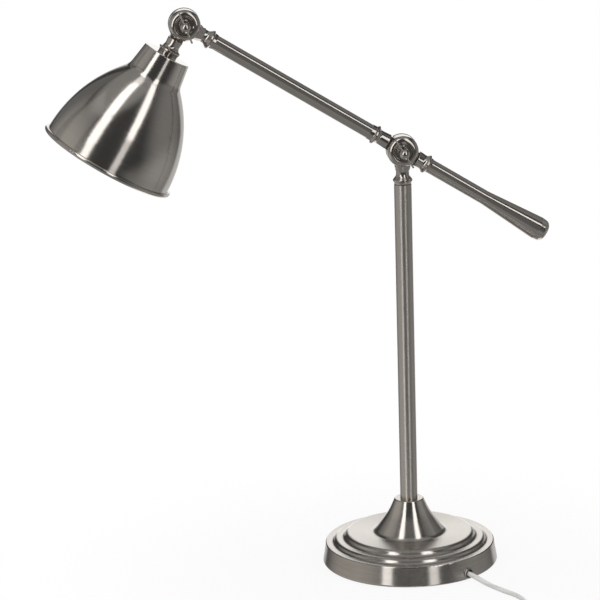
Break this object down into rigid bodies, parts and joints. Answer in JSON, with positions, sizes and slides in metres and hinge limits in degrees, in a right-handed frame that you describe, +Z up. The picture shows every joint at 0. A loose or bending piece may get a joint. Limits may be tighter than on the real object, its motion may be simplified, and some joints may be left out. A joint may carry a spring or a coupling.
{
  "type": "swing arm desk lamp",
  "caption": "Desk lamp with a stepped round base, upright column, balanced arm on a clamped knuckle, counterweight handle and a tilting bell shade; satin nickel.",
  "frame": {"origin": "middle of the base's underside, on the table", "axes": "+Z up along the column, arm in the XZ plane with the shade towards -X, clamp screws' heads towards -Y"},
  "size_m": [0.5404, 0.4712, 0.6285],
  "materials": {
    "satin_nickel": "satin nickel plate, finely brushed",
    "plain_steel": "plain zinc-plated steel",
    "cast_iron": "rough as cast",
    "felt": "black felt",
    "fibre": "dark fibre",
    "wire_sleeve": "white sleeve",
    "clear_cord": "clear whitish PVC",
    "white_plastic": "white moulded plastic",
    "rocker_plastic": "white moulded plastic",
    "plated_brass": "nickel-plated brass",
    "opal_glass": "opal, frosted"
  },
  "bodies": {
    "base": {"base_shell": "satin_nickel", "base_ballast": "cast_iron", "base_plate": "plain_steel", "base_pad": "felt", "plate_screws": "plain_steel", "column_tube": "satin_nickel", "column_plug": "plain_steel", "column_bush": "plain_steel", "tie_rod": "plain_steel", "tie_washer": "plain_steel", "tie_nut": "plain_steel", "slip_washer": "fibre", "column_wire": "wire_sleeve", "cord_grommet": "satin_nickel", "cord_grip": "white_plastic", "terminal_block": "white_plastic", "cord_inner": "clear_cord", "cord_lead": "clear_cord", "switch_case": "white_plastic", "switch_lid": "white_plastic", "cord_link": "clear_cord", "cord_coil": "clear_cord", "coil_tie": "white_plastic", "cord_tail": "clear_cord", "plug_body": "white_plastic", "plug_pins": "plated_brass"},
    "elbow": {"elbow_fork": "satin_nickel", "swivel_nipple": "plain_steel", "swivel_washer": "plain_steel", "swivel_nut": "plain_steel", "elbow_washers": "fibre", "elbow_cap_nut": "satin_nickel"},
    "elbow_clamp": {"elbow_screw": "satin_nickel", "elbow_bar": "satin_nickel"},
    "balance_arm": {"arm_hub": "satin_nickel", "arm_tube": "satin_nickel", "arm_wire": "wire_sleeve", "handle_weight": "satin_nickel", "head_fork": "satin_nickel", "head_washers": "fibre", "head_cap_nut": "satin_nickel"},
    "head_clamp": {"head_screw": "satin_nickel", "head_bar": "satin_nickel"},
    "shade_head": {"shade_stem": "satin_nickel", "shade_nipple": "plain_steel", "shade": "satin_nickel", "lock_nut": "plain_steel", "holder_cap": "white_plastic", "holder_body": "white_plastic", "holder_shell": "plated_brass", "holder_contact": "plated_brass", "head_wire": "wire_sleeve", "bulb_cap": "plated_brass", "bulb_glass": "opal_glass"},
    "rocker": {"switch_rocker": "rocker_plastic"}
  },
  "joints": [
    {"name": "column_swivel", "type": "hinge", "parent": "base", "child": "elbow", "pos_m": [0, 0, 0.4285], "axis": [0, 0, 1], "range_deg": [-160, 160]},
    {"name": "arm_tilt", "type": "hinge", "parent": "elbow", "child": "balance_arm", "pos_m": [0, 0, 0.465], "axis": [0, 1, 0], "range_deg": [-72, 7]},
    {"name": "elbow_clamp_turn", "type": "hinge", "parent": "elbow", "child": "elbow_clamp", "pos_m": [0, 0, 0.465], "axis": [0, -1, 0], "range_deg": [0, 180]},
    {"name": "head_tilt", "type": "hinge", "parent": "balance_arm", "child": "shade_head", "pos_m": [-0.22915, 0, 0.61155], "axis": [0, 1, 0], "range_deg": [-36, 100]},
    {"name": "head_clamp_turn", "type": "hinge", "parent": "balance_arm", "child": "head_clamp", "pos_m": [-0.22915, 0, 0.61155], "axis": [0, -1, 0], "range_deg": [0, 180]},
    {"name": "switch_rock", "type": "hinge", "parent": "base", "child": "rocker", "pos_m": [-0.00127, -0.23154, 0.0108], "axis": [0, 1, 0], "range_deg": [0, 16]}
  ]
}
